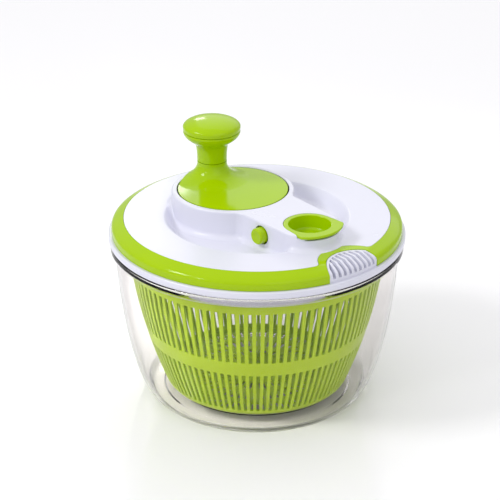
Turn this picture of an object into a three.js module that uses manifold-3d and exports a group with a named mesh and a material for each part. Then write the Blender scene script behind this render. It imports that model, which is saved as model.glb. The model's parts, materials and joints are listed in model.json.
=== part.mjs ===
// Salad spinner with an offset crank: a clear bowl, a slotted basket on a centre bearing, and a lid that
// holds an internal gear train, a push-button brake and a lift-out filler cap.
// Millimetres, +Z up. The origin is on the table under the lid's axis, and the lid's mirror axis is X:
// the crank is on the -X side, the filler cap and the pouring grille on the +X side.
import * as THREE from "three";
import { mergeVertices } from "three/addons/utils/BufferGeometryUtils.js";
import Module from "manifold-3d";

const wasm = await Module();
wasm.setup();

// ---- driving dimensions -------------------------------------------------------------------------

const gap = 0.3; // between pieces that touch or turn on each other
const roundSides = 44; // facets of a large round piece
const mediumSides = 32; // facets of a knob, a cup or a well
const smallSides = 16; // facets of a pin, a bore or a boss
const screwSides = 10;

const bowl = {
  rimRadius: 123.5, height: 138.2, wall: 2.4, footRadius: 90.8, footWidth: 11, footRise: 3,
  lipHeight: 6, lipOverhang: 4, spigotRadius: 7, spigotHeight: 9,
  curveSteps: 7, footHandle: [16.2, 12], neckHandle: [1.5, 50], // Bezier handles of the wall, out and up
};

const basket = {
  wall: 1.9, floorClearance: 3.8, floorInset: 13.1, neckInset: 8.8, rimLip: 4, rimThickness: 3,
  slots: 44, slotWidth: 7, slotFoot: 5, lowerSlots: 40.5, midBand: 13.5, topBand: 12.8,
  waistBulge: 5, floorSlots: 12, floorRings: [40], floorSlotLength: 24, floorSlotWidth: 6,
  hubWall: 2.7, rimBelowLid: 6.5,
};

const bearing = { wall: 3, top: 2 };

const lid = {
  flangeOverhang: 1.1, flangeThickness: 5.5, rimGap: 1.3, floor: 2.5, skirtWall: 1.8, skirtDepth: 10,
  skirtClearance: 1.2, mouthStep: 3, screws: 4, screwInset: 16.5, screwRadius: 1.5, postRadius: 4,
};

const band = {
  height: 12.6, width: 10.2, inset: 2.6, wall: 1.7, archInset: 2.5, archRadius: 29, archWidth: 5,
};

const cover = {
  wall: 2, recessRadius: 78, recessDepth: 10, recessFillet: 6, platformHeight: 26.3,
  hubRim: 5.5, armWall: 9.6, armSpread: 3.5, endInset: 3.3, endDrop: 4.3, endDropFrom: 15,
};

const grille = { slots: 9, slotWidth: 2.4, pitch: 2.76, reach: 21.5, lip: 2, drop: 0.6, window: 34 };

const gears = { module: 1.5, ringTeeth: 56, pinionTeeth: 14, width: 8.5, pressureAngle: 20, backlash: 0.35 };

const crank = {
  radius: 46.5, thickness: 3, crown: 1, edgeGap: 0.9, axleRadius: 5.9, gearRimWall: 1.9, gearWeb: 2.4,
  gearScrews: 3, gearScrewInset: 8.9, postWall: 3.6, screwRadius: 1.6, washerRadius: 9, washer: 0.9,
};

const knob = {
  arm: 28, neckRadius: 12.7, seamRise: 17.2, flareRadius: 21.5, flareRise: 10, headRadius: 24.7,
  neckHeight: 6.5, gripHeight: 29, capHeight: 8.4, postRadius: 5.5, postHeight: 19.5, boreClearance: 0.3,
  washerRadius: 8, wellRadius: 10,
};

const drive = {
  shaftRadius: 4, plateThickness: 2.4, plateRings: 7, hubRadius: 12, tabs: 6, tabWidth: 9.5, tabReach: 3.6,
  drumRadius: 14.2, drumHeight: 4.8, bossRadius: 8.5, screwRadius: 1.6,
};

const brake = {
  x: 38.5, height: 15, radius: 6.8, proud: 5.6, travel: 4, collar: 1.4, collarThickness: 2, stemRadius: 3,
  holeClearance: 0.6, pivot: [-20, -24], leverWidth: 3, leverHeight: 4, shoeGap: 1.6, wireRadius: 0.5,
  coils: 5, pinRadius: 1.8, guideThickness: 3, springRoom: 6.7, leverGap: 3, tabWidth: 8,
};

const filler = {
  wellRadius: 17.4, wall: 1.5, depth: 14, rim: 2.2, backRim: 4.1, cornerInset: 1.9, cornerRim: 5.9,
  frontRim: 8.1, overhang: 1, holeClearance: 0.5,
};

// ---- levels and radii that follow from them -----------------------------------------------------

const bowlFloor = bowl.footRise + bowl.wall;
const bowlMouth = bowl.rimRadius - bowl.lipOverhang - bowl.wall;
const flangeBottom = bowl.height + lid.rimGap;
const flangeTop = flangeBottom + lid.flangeThickness;
const flangeRadius = bowl.rimRadius + lid.flangeOverhang;
const lidFloor = flangeBottom + lid.floor;
const deckTop = flangeTop + band.height;
const platformTop = flangeTop + cover.platformHeight;
const recessTop = deckTop - cover.recessDepth;
const bandRadius = flangeRadius - band.inset;
const coverRadius = bandRadius - band.width - gap;
const skirtRadius = bowlMouth - lid.skirtClearance;
const skirtInner = skirtRadius - lid.skirtWall;
const basketFloor = bowlFloor + basket.floorClearance;
const basketTop = flangeBottom - basket.rimBelowLid;
const gearOffset = (gears.module * (gears.ringTeeth - gears.pinionTeeth)) / 2;
const discBottom = platformTop - crank.thickness;
const webTop = discBottom - gap;
const webBottom = webTop - crank.gearWeb;
const ringBottom = webBottom - gears.width - 2;
const screwHead = 2;
const pinionTop = webBottom - screwHead - 3 * gap;
const pinionBottom = pinionTop - gears.width;
const drumTop = pinionBottom - 1.4;
const drumBottom = drumTop - drive.drumHeight;
const plateTop = basketTop - 1;
const plateBottom = plateTop - drive.plateThickness;
const crankX = -gearOffset;
const knobX = crankX - knob.arm;
const seamHeight = platformTop + knob.seamRise;
const brakeHeight = flangeTop + brake.height;
const leverTop = drumTop - gap;
const archCentre = bandRadius - band.archInset;
const grilleInner = archCentre - grille.reach;
const grilleOuter = archCentre - grille.lip;
const hubRadius = crank.radius + cover.hubRim;
const frontReach = filler.wellRadius + filler.frontRim;
const fillerX = archCentre - band.archRadius + filler.overhang - frontReach;
const armEnd = filler.wellRadius + cover.armWall;
const armRoot = armEnd + cover.armSpread;
const endCentre = fillerX - cover.endInset;
const floorRadius = bowl.footRadius - basket.floorInset;
const neckRadius = bowlMouth - basket.neckInset;
const basketNeck = basketTop - basket.rimThickness;
const lowerSlotFoot = basketFloor + basket.slotFoot;
const waist = lowerSlotFoot + basket.lowerSlots;
const waistSlope = (neckRadius - floorRadius) / (basketNeck - basketFloor);
const waistRadius = floorRadius + waistSlope * (waist - basketFloor) + basket.waistBulge;
const leverBottom = leverTop - brake.leverHeight;

// ---- geometry helpers ---------------------------------------------------------------------------

// A closed three.js geometry as a solid: only its corners are kept, and triangles with no area go.
function solid(geometry) {
  const bare = geometry.index ? geometry.toNonIndexed() : geometry.clone();
  bare.deleteAttribute("normal");
  bare.deleteAttribute("uv");
  const merged = mergeVertices(bare, 1e-4);
  const index = merged.index.array;
  const triangles = [];
  for (let i = 0; i < index.length; i += 3) {
    const [a, b, c] = [index[i], index[i + 1], index[i + 2]];
    if (a !== b && b !== c && c !== a) triangles.push(a, b, c);
  }
  return new wasm.Manifold(
    new wasm.Mesh({
      numProp: 3,
      vertProperties: merged.attributes.position.array,
      triVerts: new Uint32Array(triangles),
    }),
  );
}

// Turns a closed outline of [radius, height] points round the Z axis, or round an axis parallel to it.
function revolve(outline, sides, x = 0, y = 0) {
  const points = outline.map(([r, z]) => new THREE.Vector2(r, z));
  if (THREE.ShapeUtils.area(points) < 0) points.reverse();
  const onAxis = points[0].x === 0 && points[points.length - 1].x === 0;
  if (!onAxis) points.push(points[0].clone());
  const geometry = new THREE.LatheGeometry(points, sides);
  return solid(geometry.rotateX(Math.PI / 2).translate(x, y, 0));
}

// A flat shape drawn in X and Y, standing from one height to another.
function prism(shape, bottom, top, curveSegments = 16) {
  const options = { depth: top - bottom, bevelEnabled: false, curveSegments };
  return solid(new THREE.ExtrudeGeometry(shape, options).translate(0, 0, bottom));
}

function post(radius, bottom, top, x = 0, y = 0, sides = smallSides) {
  const geometry = new THREE.CylinderGeometry(radius, radius, top - bottom, sides);
  return solid(geometry.rotateX(Math.PI / 2).translate(x, y, (bottom + top) / 2));
}

// A round bar along Y.
function barY(radius, from, to, x, z, sides = smallSides) {
  const geometry = new THREE.CylinderGeometry(radius, radius, to - from, sides);
  return solid(geometry.translate(x, (from + to) / 2, z));
}

function block(x0, x1, y0, y1, z0, z1) {
  const geometry = new THREE.BoxGeometry(x1 - x0, y1 - y0, z1 - z0);
  return solid(geometry.translate((x0 + x1) / 2, (y0 + y1) / 2, (z0 + z1) / 2));
}

const joined = (solids) => solids.reduce((sum, one) => sum.add(one));

const around = (count, make) => Array.from({ length: count }, (_, i) => make((i * 360) / count, i));

// A countersunk-style pan screw that points up from its head, or down when the head is on top.
function screw(x, y, headBottom, length, shank, head, pointsUp = true) {
  const headTop = headBottom + screwHead;
  const driver = screwHead * 0.6;
  const [from, to] = pointsUp ? [headTop - 0.1, headTop + length] : [headBottom - length, headBottom + 0.1];
  const [low, high] = pointsUp ? [headBottom - 1, headBottom + driver] : [headTop - driver, headTop + 1];
  const stem = post(shank, from, to, x, y, screwSides);
  const body = post(head, headBottom, headTop, x, y, screwSides).add(stem);
  return body.subtract(block(x - head / 2, x + head / 2, y - 0.5, y + 0.5, low, high));
}

// ---- bowl, bearing and basket -------------------------------------------------------------------

// The bowl's outer wall from its foot to the neck under the lip, as one Bezier curve.
function bowlCurve() {
  const neck = bowl.rimRadius - bowl.lipOverhang;
  const neckHeight = bowl.height - bowl.lipHeight - 2;
  return new THREE.CubicBezierCurve(
    new THREE.Vector2(bowl.footRadius, 0),
    new THREE.Vector2(bowl.footRadius + bowl.footHandle[0], bowl.footHandle[1]),
    new THREE.Vector2(neck - bowl.neckHandle[0], neckHeight - bowl.neckHandle[1]),
    new THREE.Vector2(neck, neckHeight),
  );
}

function makeBowl() {
  const curve = bowlCurve();
  const outer = [];
  const inner = [];
  for (let i = 0; i <= bowl.curveSteps; i++) {
    const at = curve.getPoint(i / bowl.curveSteps);
    const along = curve.getTangent(i / bowl.curveSteps);
    outer.push([at.x, at.y]);
    const inside = [at.x - along.y * bowl.wall, at.y + along.x * bowl.wall];
    if (inside[1] > bowlFloor + 1) inner.unshift(inside);
  }
  const footInner = bowl.footRadius - bowl.footWidth;
  const floorEdge = bowl.footRadius - bowl.wall;
  const outline = [
    [0, bowl.footRise],
    [footInner, bowl.footRise],
    [footInner + 1, 0],
    ...outer,
    [bowl.rimRadius, bowl.height - bowl.lipHeight],
    [bowl.rimRadius, bowl.height - 0.8],
    [bowl.rimRadius - 0.8, bowl.height],
    [bowl.rimRadius - bowl.wall, bowl.height],
    [bowlMouth, bowl.height - bowl.lipHeight - 1],
    ...inner,
    [floorEdge, bowlFloor],
    [bowl.spigotRadius + 2, bowlFloor],
    [bowl.spigotRadius, bowlFloor + 2],
    [bowl.spigotRadius, bowlFloor + bowl.spigotHeight - 1],
    [bowl.spigotRadius - 1, bowlFloor + bowl.spigotHeight],
    [0, bowlFloor + bowl.spigotHeight],
  ];
  return revolve(outline, roundSides);
}

const spigotTop = bowlFloor + bowl.spigotHeight;
const bearingRadius = bowl.spigotRadius + gap + bearing.wall;
const bearingTop = spigotTop + gap + bearing.top;

function makeBearing() {
  const bore = bowl.spigotRadius + gap;
  return revolve(
    [
      [0, spigotTop + gap],
      [bore, spigotTop + gap],
      [bore, bowlFloor + 2 + gap],
      [bearingRadius, bowlFloor + 2 + gap],
      [bearingRadius, bearingTop - 0.6],
      [bearingRadius - 0.6, bearingTop],
      [0, bearingTop],
    ],
    smallSides,
  );
}

function makeBasket() {
  const hub = bearingRadius + gap;
  const floorTop = basketFloor + basket.wall;
  const floorEdge = floorRadius - 8;
  const lip = neckRadius + basket.rimLip - basket.wall;
  const wall = revolve(
    [
      [floorEdge, basketFloor],
      [floorRadius, basketFloor],
      [waistRadius, waist],
      [neckRadius, basketNeck],
      [lip, basketNeck + 0.6],
      [lip, basketTop],
      [neckRadius - basket.wall, basketTop],
      [waistRadius - basket.wall, waist],
      [floorRadius - basket.wall + 0.5, floorTop],
      [floorEdge, floorTop],
    ],
    basket.slots,
  );
  const floor = revolve(
    [
      [0, bearingTop + gap],
      [hub, bearingTop + gap],
      [hub, basketFloor],
      [floorEdge + 1, basketFloor],
      [floorEdge + 1, floorTop],
      [hub + basket.hubWall, floorTop],
      [hub + basket.hubWall - 1, bearingTop + gap + basket.wall],
      [0, bearingTop + gap + basket.wall],
    ],
    mediumSides,
  );
  return wall.add(floor).subtract(joined([...wallSlots(), ...floorSlots(), ...rimNotches()]));
}

// One cutter for each slot in the two rows of the wall, each in the middle of its own facet.
function wallSlots() {
  const half = basket.slotWidth / 2;
  const upperFoot = waist + basket.midBand;
  const upperTop = basketNeck - basket.topBand;
  const lower = block(floorRadius - 6, waistRadius + 4, -half, half, lowerSlotFoot, waist);
  const upper = block(waistRadius - 6, neckRadius + 4, -half, half, upperFoot, upperTop);
  const middle = 180 / basket.slots;
  return around(basket.slots, (angle) => lower.add(upper).rotate([0, 0, angle + middle]));
}

function floorSlots() {
  const cutters = basket.floorRings.map((radius) => {
    const half = basket.floorSlotWidth / 2;
    const end = radius + basket.floorSlotLength;
    return block(radius, end, -half, half, basketFloor - 1, basketFloor + basket.wall + 1);
  });
  const middle = 180 / basket.floorSlots;
  return around(basket.floorSlots, (angle) => joined(cutters).rotate([0, 0, angle + middle]));
}

// Notches in the rim that the drive plate's tabs drop into.
function rimNotches() {
  const half = drive.tabWidth / 2 + 0.6;
  const outside = neckRadius + basket.rimLip + 1;
  const inside = neckRadius - basket.wall - 3;
  const cutter = block(inside, outside, -half, half, plateBottom - 0.6, basketTop + 1);
  return around(drive.tabs, (angle) => cutter.rotate([0, 0, angle]));
}

// ---- lid base -----------------------------------------------------------------------------------

// The outside of the green band as [radius, height], from its foot to its inner edge.
function bandOutline(inset) {
  const top = deckTop - inset;
  const outer = bandRadius - inset;
  return [
    [outer, flangeTop + 5.4],
    [outer - 0.9, flangeTop + 8.4],
    [outer - 2.9, top - 2.1],
    [outer - 6, top - 0.7],
    [outer - band.width, top],
  ];
}

// A solid that fills the whole lid up to the band's outside, less an inset.
function underBand(inset, bottom) {
  const outline = [[0, bottom], [bandRadius - inset, bottom], ...bandOutline(inset), [0, deckTop - inset]];
  return revolve(outline, roundSides);
}

function lidBaseShell() {
  const step = bowl.rimRadius - 1.2;
  const seat = bowl.height + gap;
  const inner = coverRadius - lid.mouthStep;
  return revolve(
    [
      [0, flangeBottom],
      [skirtInner, flangeBottom],
      [skirtInner, flangeBottom - lid.skirtDepth],
      [skirtRadius, flangeBottom - lid.skirtDepth],
      [skirtRadius, seat],
      [step, seat],
      [step, flangeBottom],
      [flangeRadius - 0.8, flangeBottom],
      [flangeRadius, flangeBottom + 0.8],
      [flangeRadius, flangeTop - 1],
      [flangeRadius - 1, flangeTop],
      [inner, flangeTop],
      [inner - 2, lidFloor],
      [0, lidFloor],
    ],
    roundSides,
  );
}

function grilleBlock() {
  const radius = band.archRadius - band.archWidth - gap;
  const body = post(radius, flangeTop - 1, deckTop, archCentre, 0, roundSides).intersect(
    underBand(grille.drop, flangeTop - 2),
  );
  const half = grille.slotWidth / 2;
  const slot = block(grilleInner, grilleOuter, -half, half, flangeTop + 1, deckTop + 1);
  const middle = (grille.slots - 1) / 2;
  const slots = Array.from({ length: grille.slots }, (_, i) => {
    return slot.rotate([0, 0, (i - middle) * grille.pitch]);
  });
  return body.subtract(joined(slots));
}

function grilleWindow() {
  const half = grille.window / 2;
  return block(grilleInner + 1, skirtInner - 1.5, -half, half, flangeBottom - 1, flangeTop + 1.5);
}

const buttonFace = brakeWallY() - brake.proud;
const collarBack = brakeWallY() + cover.wall + 0.8 + brake.collarThickness;
const guideY = collarBack + brake.travel + brake.springRoom;

// The arm's outer wall on the brake's side, at the brake's place along the arm.
function brakeWallY() {
  return -(armRoot + ((armEnd - armRoot) * brake.x) / endCentre);
}

function makeLidBase() {
  const [pivotX, pivotY] = brake.pivot;
  const axlePost = crank.axleRadius + gap + crank.postWall;
  const fillerRadius = filler.wellRadius;
  const stands = [
    grilleBlock(),
    post(drive.bossRadius, flangeBottom - 3, drumBottom - gap),
    post(axlePost, lidFloor - 0.5, ringBottom - 1, crankX),
    post(4, lidFloor - 0.5, leverBottom - gap, pivotX, pivotY),
    post(fillerRadius + 2, lidFloor - 0.5, lidFloor + 6, fillerX, 0, mediumSides),
    block(brake.x - 6, brake.x + 6, guideY, guideY + brake.guideThickness, lidFloor - 0.5, brakeHeight + 6),
  ];
  const cuts = [
    grilleWindow(),
    post(drive.shaftRadius + gap, 0, platformTop),
    post(crank.axleRadius + gap, 0, platformTop, crankX),
    post(brake.pinRadius + gap, lidFloor, leverBottom, pivotX, pivotY),
    post(fillerRadius, 0, platformTop, fillerX, 0, mediumSides),
    barY(brake.stemRadius + gap, guideY - 1, guideY + brake.guideThickness + 1, brake.x, brakeHeight),
    ...screwPlaces().map(([x, y]) => post(lid.screwRadius + gap, 0, platformTop, x, y)),
  ];
  return joined([lidBaseShell(), ...stands]).subtract(joined(cuts));
}

// The lid's screws stand on a circle, clear of the grille.
function screwPlaces() {
  const screwCircle = coverRadius - lid.screwInset;
  return around(lid.screws, (angle) => {
    const turn = THREE.MathUtils.degToRad(angle + 180 / lid.screws);
    return [screwCircle * Math.cos(turn), screwCircle * Math.sin(turn)];
  });
}

// ---- lid cover and rim band ---------------------------------------------------------------------

// The arm from the hub to the filler cap, seen from above, made smaller or larger all round by an offset.
function armShape(offset) {
  const root = armRoot + offset;
  const end = armEnd + offset;
  const shape = new THREE.Shape();
  shape.moveTo(crankX, -root);
  shape.lineTo(endCentre, -end);
  shape.absarc(endCentre, 0, end, -Math.PI / 2, Math.PI / 2, false);
  shape.lineTo(crankX, root);
  shape.closePath();
  return shape;
}

// The raised platform: hub and arm as one block, with the arm's end lowered under the filler's rim.
function platform(offset, bottom) {
  const top = platformTop + offset;
  const hub = post(hubRadius + offset, bottom, top, crankX, 0, roundSides);
  const arm = prism(armShape(offset), bottom, top);
  const dropFrom = fillerX + cover.endDropFrom + offset;
  const end = block(dropFrom, endCentre + 40, -50, 50, top - cover.endDrop, top + 10);
  return hub.add(arm).subtract(end);
}

// The filler cap's rim, seen from above: round at the back, two corners, and a front that bulges out.
function fillerShape(offset) {
  const cx = fillerX + filler.wellRadius - filler.cornerInset + offset / 2;
  const cy = filler.wellRadius + filler.cornerRim + offset;
  const front = fillerX + frontReach + offset;
  const back = filler.wellRadius + filler.backRim + offset;
  const shape = new THREE.Shape();
  shape.moveTo(cx, -cy);
  shape.quadraticCurveTo(2 * front - cx, 0, cx, cy);
  shape.lineTo(fillerX, back);
  shape.absarc(fillerX, 0, back, Math.PI / 2, -Math.PI / 2, false);
  shape.closePath();
  return shape;
}

function deckShell() {
  const w = cover.wall;
  const lip = cover.recessRadius;
  const fillet = cover.recessFillet;
  return revolve(
    [
      [coverRadius, flangeTop + gap],
      [coverRadius, deckTop - 0.6],
      [coverRadius - 0.8, deckTop],
      [lip + 1, deckTop],
      [lip - 1.4, deckTop - 1.2],
      [lip - 2.4, recessTop + fillet],
      [lip - 4.4, recessTop + 1.8],
      [lip - 2.4 - fillet, recessTop],
      [0, recessTop],
      [0, recessTop - w],
      [lip - 2.4 - fillet, recessTop - w],
      [lip - 4.4 + w, recessTop + 1.8 - w],
      [lip - 2.4 + w, recessTop + fillet - w],
      [lip + 1, deckTop - w],
      [coverRadius - w, deckTop - w],
      [coverRadius - w, flangeTop + gap],
    ],
    roundSides,
  );
}

function makeCover() {
  const seatTop = platformTop - filler.rim - 0.4;
  const hollow = platform(-cover.wall, recessTop - cover.wall - 1);
  const seat = prism(fillerShape(filler.holeClearance + cover.wall), seatTop - cover.wall, seatTop)
    .intersect(platform(-cover.wall / 2, recessTop));
  const posts = screwPlaces().map(([x, y]) => post(lid.postRadius, lidFloor + gap, deckTop - 1, x, y));
  const shell = deckShell().add(platform(0, recessTop - 0.5)).subtract(hollow);
  const cupHole = filler.wellRadius + filler.wall + filler.holeClearance;
  const cuts = [
    post(crank.radius + crank.edgeGap, recessTop - 10, platformTop + 1, crankX, 0, roundSides),
    prism(fillerShape(filler.holeClearance), seatTop, platformTop + 1),
    post(cupHole, recessTop - 10, platformTop + 1, fillerX, 0, mediumSides),
    post(band.archRadius + gap, 0, deckTop + 1, archCentre, 0, roundSides),
    barY(brake.radius + brake.holeClearance, brakeWallY() - 5, brakeWallY() + 5, brake.x, brakeHeight),
    ...screwPlaces().map(([x, y]) => post(lid.screwRadius + gap, 0, lidFloor + 9, x, y)),
  ];
  return joined([shell, seat, ...posts]).subtract(joined(cuts));
}

function makeBand() {
  const foot = flangeTop + gap;
  const inside = bandOutline(band.wall).reverse();
  inside[0] = [bandRadius - band.width + band.wall, deckTop - band.wall - 0.2];
  const ring = revolve(
    [
      [bandRadius, foot],
      ...bandOutline(0),
      [bandRadius - band.width, foot],
      [bandRadius - band.width + band.wall, foot],
      ...inside,
      [bandRadius - band.wall, foot],
    ],
    roundSides,
  );
  const inner = band.archRadius - band.archWidth;
  const archWall = post(band.archRadius, foot, deckTop + 1, archCentre, 0, roundSides)
    .intersect(underBand(0, foot - 1));
  return ring.add(archWall).subtract(post(inner, foot - 2, deckTop + 2, archCentre, 0, roundSides));
}

// ---- gears --------------------------------------------------------------------------------------

// The outline of an external spur gear with involute flanks, and a tooth centred on +X.
function gearShape(teeth, tipRadius, rootRadius, thinner) {
  const pitchRadius = (gears.module * teeth) / 2;
  const angle = THREE.MathUtils.degToRad(gears.pressureAngle);
  const baseRadius = pitchRadius * Math.cos(angle);
  const involute = (radius) => {
    const roll = Math.acos(Math.min(1, baseRadius / radius));
    return Math.tan(roll) - roll;
  };
  const quarterPitch = Math.PI / (2 * teeth) + involute(pitchRadius);
  const halfTooth = (radius) => quarterPitch - involute(radius) - thinner / (2 * radius);
  const radii = [rootRadius, pitchRadius, tipRadius];
  const shape = new THREE.Shape();
  for (let tooth = 0; tooth < teeth; tooth++) {
    const centre = (tooth * 2 * Math.PI) / teeth;
    const rising = radii.map((radius) => [radius, centre - halfTooth(radius)]);
    const falling = radii.map((radius) => [radius, centre + halfTooth(radius)]).reverse();
    [...rising, ...falling].forEach(([radius, at], i) => {
      const point = [radius * Math.cos(at), radius * Math.sin(at)];
      if (tooth === 0 && i === 0) shape.moveTo(...point);
      else shape.lineTo(...point);
    });
  }
  shape.closePath();
  return shape;
}

const ringPitch = (gears.module * gears.ringTeeth) / 2;
const pinionPitch = (gears.module * gears.pinionTeeth) / 2;
const ringRoot = ringPitch + 1.25 * gears.module;
const ringTip = ringPitch - gears.module;

// The ring gear hangs under the crank disc, on a web that its screws go through.
function makeRingGear() {
  const outside = post(ringRoot + crank.gearRimWall, ringBottom, webTop, 0, 0, roundSides);
  const space = gearShape(gears.ringTeeth, ringRoot, ringTip, -gears.backlash);
  const teeth = prism(space, ringBottom - 1, webBottom);
  const open = post(ringRoot - crank.gearScrewInset - 5, webBottom - 1, webTop + 1, 0, 0, mediumSides);
  const hole = crank.screwRadius + gap;
  const holes = gearScrewPlaces().map(([x, y]) => post(hole, webBottom - 1, webTop + 1, x, y));
  return outside.subtract(joined([teeth, open, ...holes])).translate([crankX, 0, 0]);
}

function gearScrewPlaces() {
  const circle = ringRoot - crank.gearScrewInset;
  return around(crank.gearScrews, (angle) => {
    const turn = THREE.MathUtils.degToRad(angle + 180);
    return [circle * Math.cos(turn), circle * Math.sin(turn)];
  });
}

function makePinion() {
  const tip = pinionPitch + gears.module;
  const root = pinionPitch - 1.25 * gears.module;
  const outline = gearShape(gears.pinionTeeth, tip, root, gears.backlash);
  const teeth = prism(outline, pinionBottom, pinionTop);
  const body = revolve(
    [
      [0, drumBottom],
      [drive.drumRadius, drumBottom],
      [drive.drumRadius, drumTop],
      [root, drumTop],
      [root, pinionBottom + 1],
      [0, pinionBottom + 1],
    ],
    mediumSides,
  );
  return teeth.add(body).subtract(post(drive.shaftRadius + gap, 0, platformTop));
}

// ---- crank and knob -----------------------------------------------------------------------------

function makeCrankDisc() {
  const edge = crank.radius;
  const axleBottom = flangeBottom + gap;
  const disc = revolve(
    [
      [0, axleBottom],
      [crank.axleRadius, axleBottom],
      [crank.axleRadius, discBottom],
      [edge, discBottom],
      [edge, platformTop - 0.6],
      [edge - 0.8, platformTop],
      [edge * 0.6, platformTop + crank.crown * 0.7],
      [0, platformTop + crank.crown],
    ],
    roundSides,
    crankX,
  );
  const hole = crank.screwRadius + gap;
  const bore = post(hole, 0, axleBottom + 16, crankX);
  const pilots = gearScrewPlaces().map(([x, y]) => post(hole, 0, discBottom + 1.8, crankX + x, y));
  const stub = knobStub().intersect(post(edge, discBottom, platformTop + 90, crankX, 0, roundSides));
  return disc.add(stub).subtract(joined([bore, ...pilots])).subtract(knobPostBore());
}

// The stub that flares out of the disc under the knob, with the post that the knob turns on.
function knobStub() {
  const base = platformTop - 1;
  const flare = new THREE.QuadraticBezierCurve(
    new THREE.Vector2(knob.flareRadius, platformTop + 0.4),
    new THREE.Vector2(knob.neckRadius, platformTop + 1.5),
    new THREE.Vector2(knob.neckRadius, platformTop + knob.flareRise),
  );
  return revolve(
    [
      [0, base],
      [knob.flareRadius, base],
      ...flare.getPoints(5).map((p) => [p.x, p.y]),
      [knob.neckRadius, seamHeight],
      [knob.postRadius, seamHeight],
      [knob.postRadius, seamHeight + knob.postHeight],
      [0, seamHeight + knob.postHeight],
    ],
    mediumSides,
    knobX,
  );
}

const knobPostBore = () =>
  post(crank.screwRadius + gap, seamHeight + 6, seamHeight + knob.postHeight + 1, knobX);

// Radius of the grip against its height above the seam.
function gripOutline() {
  const foot = seamHeight + gap;
  const flare = new THREE.CubicBezierCurve(
    new THREE.Vector2(knob.neckRadius, foot + knob.neckHeight),
    new THREE.Vector2(knob.neckRadius + 0.6, foot + knob.neckHeight + 8),
    new THREE.Vector2(knob.headRadius - 0.4, foot + knob.gripHeight - 13),
    new THREE.Vector2(knob.headRadius, foot + knob.gripHeight - 1.6),
  );
  return [
    [knob.neckRadius, foot],
    ...flare.getPoints(7).map((p) => [p.x, p.y]),
    [knob.headRadius - 0.5, foot + knob.gripHeight],
  ];
}

const gripShoulder = seamHeight + knob.postHeight - gap;
const gripTop = seamHeight + gap + knob.gripHeight;

function makeGrip() {
  const bore = knob.postRadius + knob.boreClearance;
  return revolve(
    [
      [bore, seamHeight + gap],
      ...gripOutline(),
      [knob.wellRadius, gripTop],
      [knob.wellRadius, gripShoulder],
      [bore, gripShoulder],
    ],
    mediumSides,
    knobX,
  );
}

function makeCap() {
  const foot = gripTop + gap;
  const edge = knob.headRadius - 0.5;
  const dome = [0, 1, 2, 3, 4, 5].map((i) => {
    const angle = (i * Math.PI) / 10;
    return [edge * Math.cos(angle), foot + 0.6 + (knob.capHeight - 0.6) * Math.sin(angle)];
  });
  dome[5][0] = 0;
  const plug = knob.wellRadius - gap;
  const inner = plug - 1.5;
  return revolve(
    [
      [0, foot + 2],
      [inner, foot + 2],
      [inner, foot - 2.5],
      [plug, foot - 2.5],
      [plug, foot],
      [edge, foot],
      ...dome,
    ],
    mediumSides,
    knobX,
  );
}

// ---- drive --------------------------------------------------------------------------------------

const shaftBottom = plateBottom - 2;

function makeShaft() {
  const bore = post(drive.screwRadius + gap, shaftBottom - 1, shaftBottom + 14);
  return post(drive.shaftRadius, shaftBottom, pinionTop + 0.6).subtract(bore);
}

// The plate that turns the basket: a hub, spokes and a ring, with tabs that drop into the basket's rim.
function makeDrivePlate() {
  const neck = neckRadius - basket.wall;
  const edge = neck - 1.5;
  const disc = post(edge, plateBottom, plateTop, 0, 0, roundSides);
  const hub = post(drive.hubRadius, shaftBottom + gap, flangeBottom - 3 - gap);
  const half = drive.tabWidth / 2;
  const tab = block(edge - 4, neck + drive.tabReach, -half, half, plateBottom, plateTop);
  const tabs = around(drive.tabs, (angle) => tab.rotate([0, 0, angle]));
  const windows = around(drive.tabs, (angle) => {
    const window = new THREE.Shape();
    const [from, to] = [0.14, Math.PI / 3 - 0.14];
    window.absarc(0, 0, edge - drive.plateRings, from, to, false);
    window.absarc(0, 0, drive.hubRadius + 14, to - 0.12, from + 0.12, true);
    window.closePath();
    return prism(window, plateBottom - 1, plateTop + 1, 6).rotate([0, 0, angle]);
  });
  const bore = post(drive.shaftRadius + gap, 0, platformTop);
  return joined([disc, hub, ...tabs]).subtract(joined([...windows, bore]));
}

// ---- brake --------------------------------------------------------------------------------------

const leverY = collarBack + brake.leverGap;

// The button, its collar behind the wall, its stem through the guide, and the tab that moves the lever.
function makeButton() {
  const collarFront = collarBack - brake.collarThickness;
  const tabHalf = brake.tabWidth / 2;
  return joined([
    barY(brake.radius, buttonFace, collarFront + 0.5, brake.x, brakeHeight),
    barY(brake.radius + brake.collar, collarFront, collarBack, brake.x, brakeHeight),
    barY(brake.stemRadius, collarBack - 0.5, guideY + brake.guideThickness + 1, brake.x, brakeHeight),
    block(
      brake.x - tabHalf, brake.x + tabHalf, collarBack - 1.6, leverY - gap, leverBottom, brakeHeight - 6,
    ),
  ]);
}

// The lever: a bar from its pivot to the button's tab, with a boss that carries the shoe.
function makeLever() {
  const [pivotX, pivotY] = brake.pivot;
  const half = brake.leverWidth / 2;
  const end = [brake.x + 4, leverY + half];
  const bar = new THREE.Shape();
  bar.moveTo(pivotX, pivotY - half);
  bar.lineTo(brake.x - 8, leverY);
  bar.lineTo(end[0], end[1] - half);
  bar.lineTo(end[0], end[1] + half);
  bar.lineTo(brake.x - 8, leverY + brake.leverWidth);
  bar.lineTo(pivotX, pivotY + half);
  bar.closePath();
  return prism(bar, leverBottom, leverTop)
    .add(post(4.5, leverBottom, leverTop, pivotX, pivotY))
    .add(block(-4, 4, pivotY - 1, shoeBack() - gap, leverBottom, leverTop))
    .subtract(post(brake.pinRadius + gap, leverBottom - 1, leverTop + 1, pivotX, pivotY));
}

const shoeBack = () => -drive.drumRadius - brake.shoeGap - 2.5;

const makeShoe = () => block(-4.5, 4.5, shoeBack(), shoeBack() + 2.5, leverBottom, leverTop);

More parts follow.
